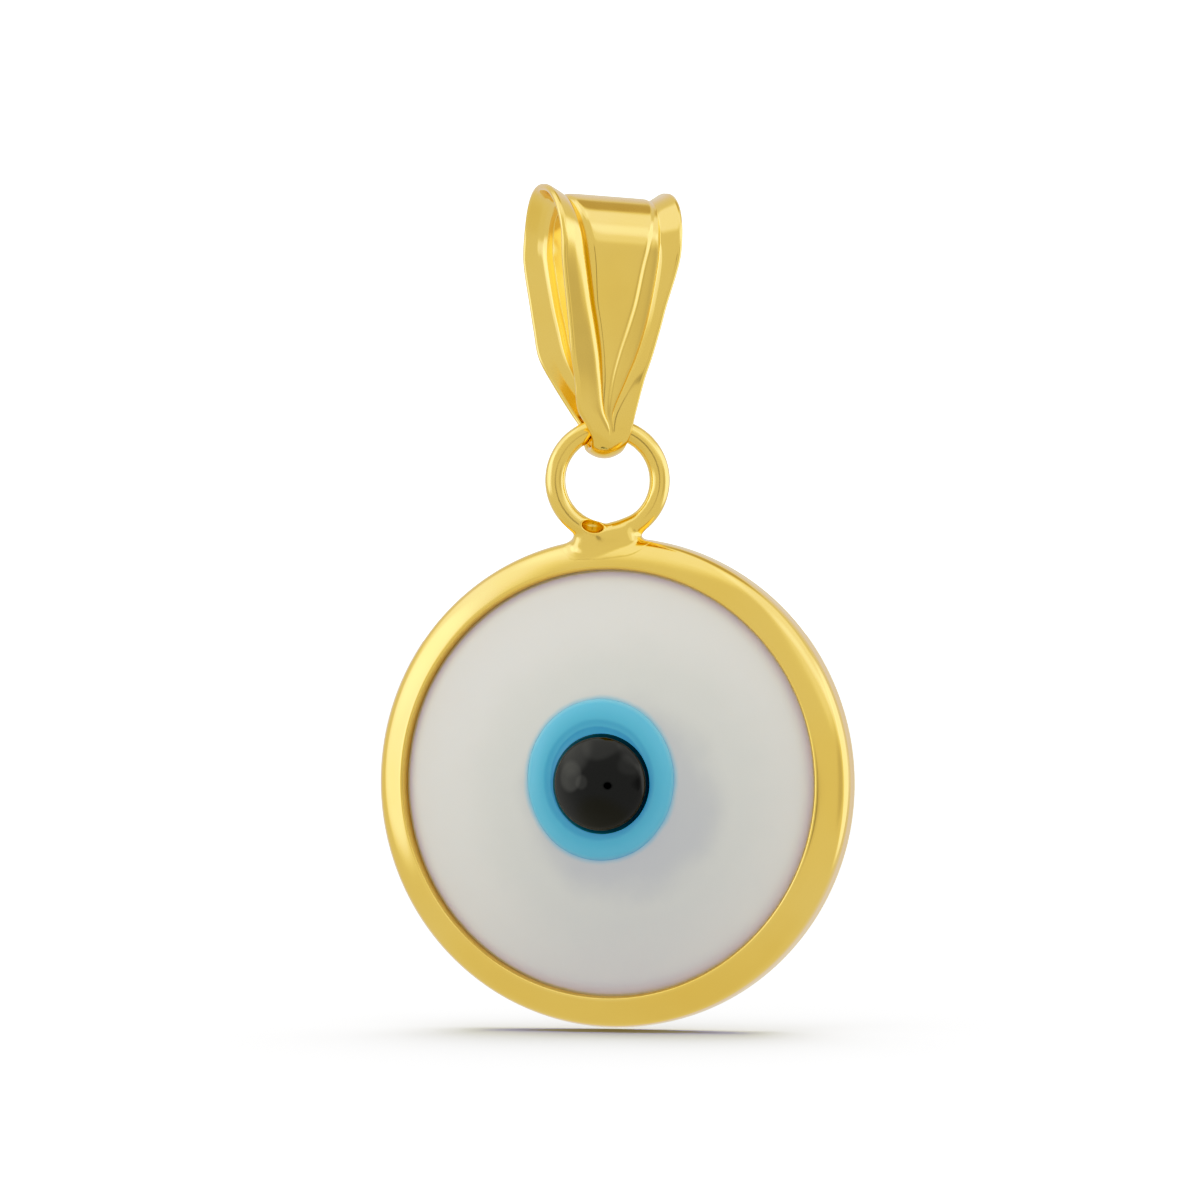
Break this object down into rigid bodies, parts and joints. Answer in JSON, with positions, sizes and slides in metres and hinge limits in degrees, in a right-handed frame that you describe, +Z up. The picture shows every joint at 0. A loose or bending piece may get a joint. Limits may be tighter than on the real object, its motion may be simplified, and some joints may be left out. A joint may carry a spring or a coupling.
{
  "type": "evil eye pendant",
  "caption": "Round evil eye pendant: a domed white glass disc with a blue and black eye in a gold rim, hung by a soldered ring from a flared sheet bail.",
  "frame": {"origin": "the chain seat: the highest point of the inside of the bail, where a chain carries the pendant", "axes": "+Z up, -Y the way the glass disc faces, +X to the right of someone who looks at the face of the disc"},
  "size_m": [0.013, 0.0049, 0.0224],
  "materials": {
    "gold": "polished yellow gold",
    "white_glass": "opal white, satin",
    "blue_glass": "opaque light blue, glossy",
    "black_glass": "opaque black, glossy"
  },
  "bodies": {
    "bail": {"bail": "gold"},
    "drop": {"setting": "gold", "glass_disc": "white_glass", "iris": "blue_glass", "pupil": "black_glass"}
  },
  "joints": [
    {"name": "drop_swing", "type": "hinge", "parent": "bail", "child": "drop", "pos_m": [0.00006, -0.00045, -0.00597], "axis": [0.9397, 0.342, 0], "range_deg": [-90, 90]}
  ]
}
